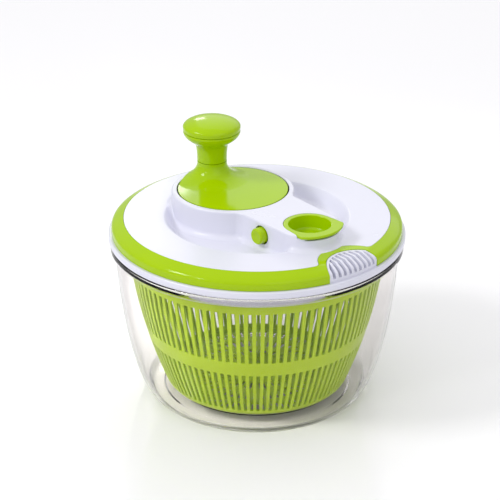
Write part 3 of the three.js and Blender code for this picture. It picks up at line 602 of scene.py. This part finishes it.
def deckHeight(s, radius):
    share = min(max((radius - s["recessFloor"]) / (s["recessLip"] - s["recessFloor"]), 0), 1)
    return deckTop - s["recessDepth"] * (1 - share * share * (3 - 2 * share))


def makeDeck(s):
    stops = [0, 30, 50, 62]
    stops += [s["recessFloor"] + (s["recessLip"] - s["recessFloor"]) * k / 14 for k in range(15)]
    stops += [85, 95, 105, bandSizes["innerRadius"]]
    top = [(r, deckHeight(s, r)) for r in stops]
    under = [(r, z - s["wall"]) for r, z in reversed(top)]
    deck = spinShape([*top, *under], 160)
    deck = carve(deck, prismShape(deckPlan(bandSizes, -gap), deckTop - 30, deckTop + 5), "INTERSECT")
    deck = carve(deck, prismShape(platformPlan(s, -s["wall"] - 0.5), deckTop - 30, deckTop + 5))
    finishPiece("lidDeck", deck, "lid", white, ["lid_cover"])


fillerSizes = {"back": 21.5, "corner": (15.5, 23.3, 3.2), "front": 25.5, "thickness": 2.2, "cup": 18.9,
               "well": 17.4, "cupDrop": 14, "floor": 2, "wellRound": 3, "edge": 0.7}


def fillerPlan(s, offset):
    # the cap's rim seen from above: round at the back, two corners, and a front that bulges out
    cornerX, cornerY = s["corner"][0] + offset / 2, s["corner"][1] + offset
    reach = s["front"] + offset - cornerX
    frontRadius = (reach ** 2 + cornerY ** 2) / (2 * reach)
    middle = fillerX + s["front"] + offset - frontRadius
    half = math.degrees(math.asin(cornerY / frontRadius))
    back = s["back"] + offset
    turn = math.degrees(math.atan2(cornerY, cornerX) - math.acos(back / math.hypot(cornerX, cornerY)))
    away = 2 * math.degrees(math.atan2(cornerY, cornerX)) - turn
    points = arcPoints((middle, 0), frontRadius, -half + 6, half - 6, 20)
    points.append((fillerX + cornerX, cornerY, s["corner"][2]))
    points += arcPoints((fillerX, 0), back, max(away, 90), 360 - max(away, 90), 40)
    points.append((fillerX + cornerX, -cornerY, s["corner"][2]))
    return roundCorners(points)


def platformPlan(s, offset):
    # hub and arm as one outline: hub arc, cove, the arm's side, its round end, and the same back again
    lean = math.radians(s["armSpread"])
    side = Vector((math.sin(lean), -math.cos(lean)))
    along = Vector((-math.cos(lean), -math.sin(lean)))
    hub, end = Vector((crankX, 0)), Vector((s["armEndX"], 0))
    start = end + side * (s["armEnd"] + s["cove"]) - hub
    run = start.dot(along)
    reach = -run - math.sqrt(run ** 2 - start.length_squared + (s["hubRadius"] + s["cove"]) ** 2)
    cove = hub + start + along * reach
    hubTurn = math.degrees(math.atan2(-cove.y, cove.x - hub.x))
    points = arcPoints(hub, s["hubRadius"] + offset, hubTurn, 360 - hubTurn, 80)
    points += arcPoints(cove, s["cove"] - offset, 180 - hubTurn, 90 + s["armSpread"], 10)[1:]
    last = Vector(points[-1])
    tip = end + side * (s["armEnd"] + offset)
    points += [tuple(last.lerp(tip, k / 10)) for k in range(1, 10)]
    points += arcPoints(end, s["armEnd"] + offset, -90 + s["armSpread"], 90 - s["armSpread"], 44)
    mirrored = [(x, -y) for x, y in points[81:100]]
    return points + list(reversed(mirrored))


def makePlatform(s):
    loops = [[(x, y, s["foot"]) for x, y in platformPlan(s, s["flare"])]]
    for k in range(7):
        turn = math.radians(90 - 15 * k)
        offset = s["flare"] * (1 - math.cos(turn))
        rise = s["flare"] * (1 - math.sin(turn)) - 0.04
        loops.append([(x, y, deckHeight(s, math.hypot(x, y)) + rise) for x, y in platformPlan(s, offset)])
    for k in range(5):
        turn = math.radians(22.5 * k)
        offset = -s["topRound"] * (1 - math.cos(turn))
        height = platformTop - s["topRound"] * (1 - math.sin(turn))
        loops.append([(x, y, height) for x, y in platformPlan(s, offset)])
    body = loftShape(loops)
    hollow = prismShape(platformPlan(s, -s["wall"]), s["foot"] - 5, platformTop - s["wall"])
    body = carve(body, hollow)
    seat = platformTop - s["seatDepth"]
    above = platformTop + 5
    end = prismShape(platformPlan(s, 0.5), platformTop - s["endDrop"], above)
    front = blockShape((fillerX + s["endDropFrom"], -40, platformTop - 10), (fillerX + 60, 40, above))
    pads = [carve(end, front, "INTERSECT"), prismShape(fillerPlan(fillerSizes, gap), seat, above)]
    pads += [rodShape(s["boreRadius"], platformTop - 8, above, (crankX, 0), 96),
             rodShape(s["cupHole"], platformTop - 8, above, (fillerX, 0), 64)]
    low = boxOf("brake_button")[0].y
    pads.append(layAlongY(rodShape(s["buttonHole"], 0, 12, steps=40), (buttonX, low, brakeHeight)))
    for pad in pads:
        body = carve(body, pad)
    finishPiece("lidPlatform", body, "lid", white, bevel=s["edge"])


makeDeck(coverSizes)
makePlatform(coverSizes)
print("lid cover made")

crankSizes = {"radius": 46.5, "thickness": 3, "crown": 1, "axle": 5.9, "flare": 32, "neck": 12.7,
              "flareRise": 15.2, "post": 5.5, "edge": 0.6, "steps": 128}
seamHigh = boxOf("knob_grip")[0].z
gripHigh = boxOf("knob_grip")[1].z


def crownRise(s, x, y):
    share = min(math.hypot(x - crankX, y) / s["radius"], 1)
    return s["crown"] * (1 - share ** 2)


def makeCrankDisc(s):
    radius, low = s["radius"], platformTop - s["thickness"]
    rings = [radius * k / 10 for k in range(9, -1, -1)]
    disc = spinShape([(0, low), (radius, low), (radius, platformTop),
                      *[(r, platformTop + crownRise(s, crankX + r, 0)) for r in rings]],
                     s["steps"], (crankX, 0))
    flare = curvePoints((s["flare"], platformTop - 0.05), (s["neck"] + 5.5, platformTop + 1.9),
                        (s["neck"] + 0.2, platformTop + 9.4), (s["neck"], platformTop + s["flareRise"]), 24)
    seam = seamHigh - gap
    stub = spinShape([(0, low + 1), (s["flare"], low + 1), *flare, (s["neck"], seam),
                      (0, seam)], 96, (knobX, 0))
    for vert in stub.verts:
        fade = 1 - min(max((vert.co.z - platformTop) / s["flareRise"], 0), 1)
        if vert.co.z > low + 2:
            vert.co.z += crownRise(s, vert.co.x, vert.co.y) * fade
    disc = carve(disc, stub, "UNION")
    disc = carve(disc, rodShape(radius, low - 1, seam + 5, (crankX, 0), s["steps"]), "INTERSECT")
    axle = rodShape(s["axle"], boxOf("crank_disc")[0].z, low + 1, (crankX, 0))
    post = rodShape(s["post"], seam - 1, boxOf("crank_disc")[1].z, (knobX, 0))
    finishPiece("crankDisc", joinShapes([disc, axle, post]), "crank", lime, ["crank_disc"],
                bevel=s["edge"], sharpAngle=30)


knobSizes = {"neck": 12.7, "throat": (14.05, 14.1), "head": 24.5, "well": 10, "wellDepth": 8, "bore": 5.8,
             "seamDrop": 2.1, "capRadius": 24.6, "capEdge": 3, "plug": 9.7, "edge": 0.5, "steps": 96}


def makeKnob(s):
    foot, top = seamHigh, gripHigh - s["seamDrop"]
    throat = (s["throat"][0], foot + s["throat"][1])
    side = curvePoints((s["neck"], foot), (s["neck"], foot + 5.2), (13, foot + 10.7), throat, 9)
    side += curvePoints(throat, (15.1, throat[1] + 3.8), (s["head"] - 1.2, throat[1] + 5.4),
                        (s["head"], top - 0.8), 16)[1:]
    wellFloor = top - s["wellDepth"]
    outline = [(s["bore"], foot), *side, (s["head"] - 0.4, top), (s["well"], top), (s["well"], wellFloor),
               (s["bore"], wellFloor)]
    grip = spinShape(outline, s["steps"], (knobX, 0), closed=True)
    finishPiece("knobGrip", grip, "knob", lime, ["knob_grip"], bevel=s["edge"])
    low, high = top + gap, boxOf("knob_cap")[1].z
    edge = low + s["capEdge"]
    dome = curvePoints((s["capRadius"], edge), (s["capRadius"] - 0.1, edge + 3.6),
                       (s["capRadius"] * 0.66, high), (0, high), 24)
    cap = spinShape([(0, low - 2.5), (s["plug"], low - 2.5), (s["plug"], low), (s["capRadius"] - 0.3, low),
                     *dome], s["steps"], (knobX, 0))
    finishPiece("knobCap", cap, "knob", lime, ["knob_cap"], bevel=s["edge"], sharpAngle=30)


buttonSizes = {"radius": 6.8, "collar": 7.8, "collarThickness": 1.6, "collarAt": 8.85, "stem": 3, "dish": 0.5,
               "tabWidth": 8, "tabFrom": 8.85, "tabDepth": 4.3, "tabHeight": 6, "edge": 0.5}


def makeButton(s):
    low, high = boxOf("brake_button")
    length = high.y - low.y
    collarBack = s["collarAt"] + s["collarThickness"]
    outline = [(0, s["dish"]), (3, s["dish"] * 0.75), (5.2, 0), (s["radius"] - 0.9, 0.1), (s["radius"], 1.1),
               (s["radius"], s["collarAt"]), (s["collar"], s["collarAt"]),
               (s["collar"], collarBack), (s["stem"], collarBack),
               (s["stem"], length), (0, length)]
    button = layAlongY(spinShape(outline, 64), (buttonX, low.y, brakeHeight))
    half, tabFront = s["tabWidth"] / 2, low.y + s["tabFrom"]
    tab = blockShape((buttonX - half, tabFront, low.z),
                     (buttonX + half, tabFront + s["tabDepth"], brakeHeight - s["tabHeight"]))
    finishPiece("brakeButton", joinShapes([button, tab]), "button", lime, ["brake_button"],
                sharpAngle=30)


def makeFillerCap(s):
    low = platformTop - s["cupDrop"]
    rim = prismShape(fillerPlan(s, 0), platformTop - s["thickness"], platformTop)
    bevelSharp(rim, s["edge"], 3, 50)
    cup = spinShape(roundCorners([(0, low), (s["cup"], low, 1.5), (s["cup"], platformTop - 0.6),
                                  (0, platformTop - 0.6)]), 72, (fillerX, 0))
    floor = low + s["floor"]
    mouth = arcPoints((s["well"] + s["edge"], platformTop - s["edge"]), s["edge"], 180, 90, 4)
    well = spinShape(roundCorners([(0, floor), (s["well"] - 1.2, floor, s["wellRound"]),
                                   (s["well"] - 0.5, platformTop - 5), *mouth,
                                   (s["well"] + s["edge"], platformTop + 2), (0, platformTop + 2)]),
                     72, (fillerX, 0))
    cap = carve(carve(rim, cup, "UNION"), well)
    finishPiece("fillerCup", cap, "filler", lime, ["filler_cap"], sharpAngle=35)


makeCrankDisc(crankSizes)
makeKnob(knobSizes)
makeButton(buttonSizes)
makeFillerCap(fillerSizes)
print("moving lid parts made")


stageLook = {"floorColour": "#FCFBFD", "floorSize": 12.0, "floorRoughness": 0.12,
             "horizonColour": "#C6C8CE", "overheadColour": "#FFFFFF", "worldStrength": 0.78}
lamps = {
    "keyLamp": {"at": (-0.6, -1.5, 1.6), "size": 0.5, "power": 16},
    "fillLamp": {"at": (1.8, -0.2, 1.2), "size": 1.8, "power": 6},
    "backLamp": {"at": (-0.9, 1.4, 1.5), "size": 2.2, "power": 9},
    "frontSpark": {"at": (0.1, -1.8, 1.3), "size": 0.2, "power": 2.6},
    "rearSpark": {"at": (-1.6, 0.97, 0.9), "size": 0.2, "power": 0.8},
}
view = {"at": (1.0540, -0.8924, 0.7640), "heading": (-0.766, 0.643), "pitch": 24.845, "lens": 129.6}


def makeStage(look):
    bm = bmesh.new()
    bmesh.ops.create_grid(bm, x_segments=1, y_segments=1, size=look["floorSize"] / 2)
    mesh = bpy.data.meshes.new("studioFloor")
    bm.to_mesh(mesh)
    bm.free()
    material, tree = newMaterial("glossyWhiteFloor")
    shader = addNode(tree, "BsdfPrincipled", {"Base Color": linearColour(look["floorColour"]),
                                              "Roughness": look["floorRoughness"], "IOR": 1.4})
    addNode(tree, "OutputMaterial", {}, {"Surface": (shader, "BSDF")})
    mesh.materials.append(material)
    floor = bpy.data.objects.new("studioFloor", mesh)
    bpy.context.scene.collection.objects.link(floor)
    floor.location.z = cadLow.z - 0.0002
    world = bpy.data.worlds.new("studio")
    world.use_nodes = True
    tree = world.node_tree
    place = addNode(tree, "TexCoord")
    height = addNode(tree, "SeparateXYZ", {}, {"Vector": (place, "Generated")})
    lift = addNode(tree, "MapRange", {"From Min": -0.1, "From Max": 0.75}, {"Value": (height, "Z")})
    sky = addNode(tree, "Mix", {"data_type": "RGBA"}, {"Factor": (lift, "Result")})
    sky.inputs[6].default_value = linearColour(look["horizonColour"])
    sky.inputs[7].default_value = linearColour(look["overheadColour"])
    background = tree.nodes["Background"]
    background.inputs["Strength"].default_value = look["worldStrength"]
    tree.links.new(sky.outputs[2], background.inputs["Color"])
    bpy.context.scene.world = world


def makeLamp(name, lamp):
    light = bpy.data.lights.new(name, "AREA")
    light.size = lamp["size"]
    light.energy = lamp["power"]
    holder = bpy.data.objects.new(name, light)
    bpy.context.scene.collection.objects.link(holder)
    holder.location = lamp["at"]
    aim = Vector((0, 0, 0.12)) - Vector(lamp["at"])
    holder.rotation_euler = aim.to_track_quat("-Z", "Y").to_euler()


def makeCamera(shot):
    camera = bpy.data.objects.new("camera", bpy.data.cameras.new("camera"))
    bpy.context.scene.collection.objects.link(camera)
    camera.data.lens = shot["lens"]
    camera.data.clip_end = 50
    camera.location = shot["at"]
    pitch = math.radians(shot["pitch"])
    heading = Vector((*shot["heading"], 0)).normalized() * math.cos(pitch)
    direction = heading - Vector((0, 0, math.sin(pitch)))
    camera.rotation_euler = direction.to_track_quat("-Z", "Y").to_euler()
    bpy.context.scene.camera = camera


makeStage(stageLook)
for name, lamp in lamps.items():
    makeLamp(name, lamp)
makeCamera(view)
bpy.context.scene.view_settings.view_transform = "Standard"
print("stage made")
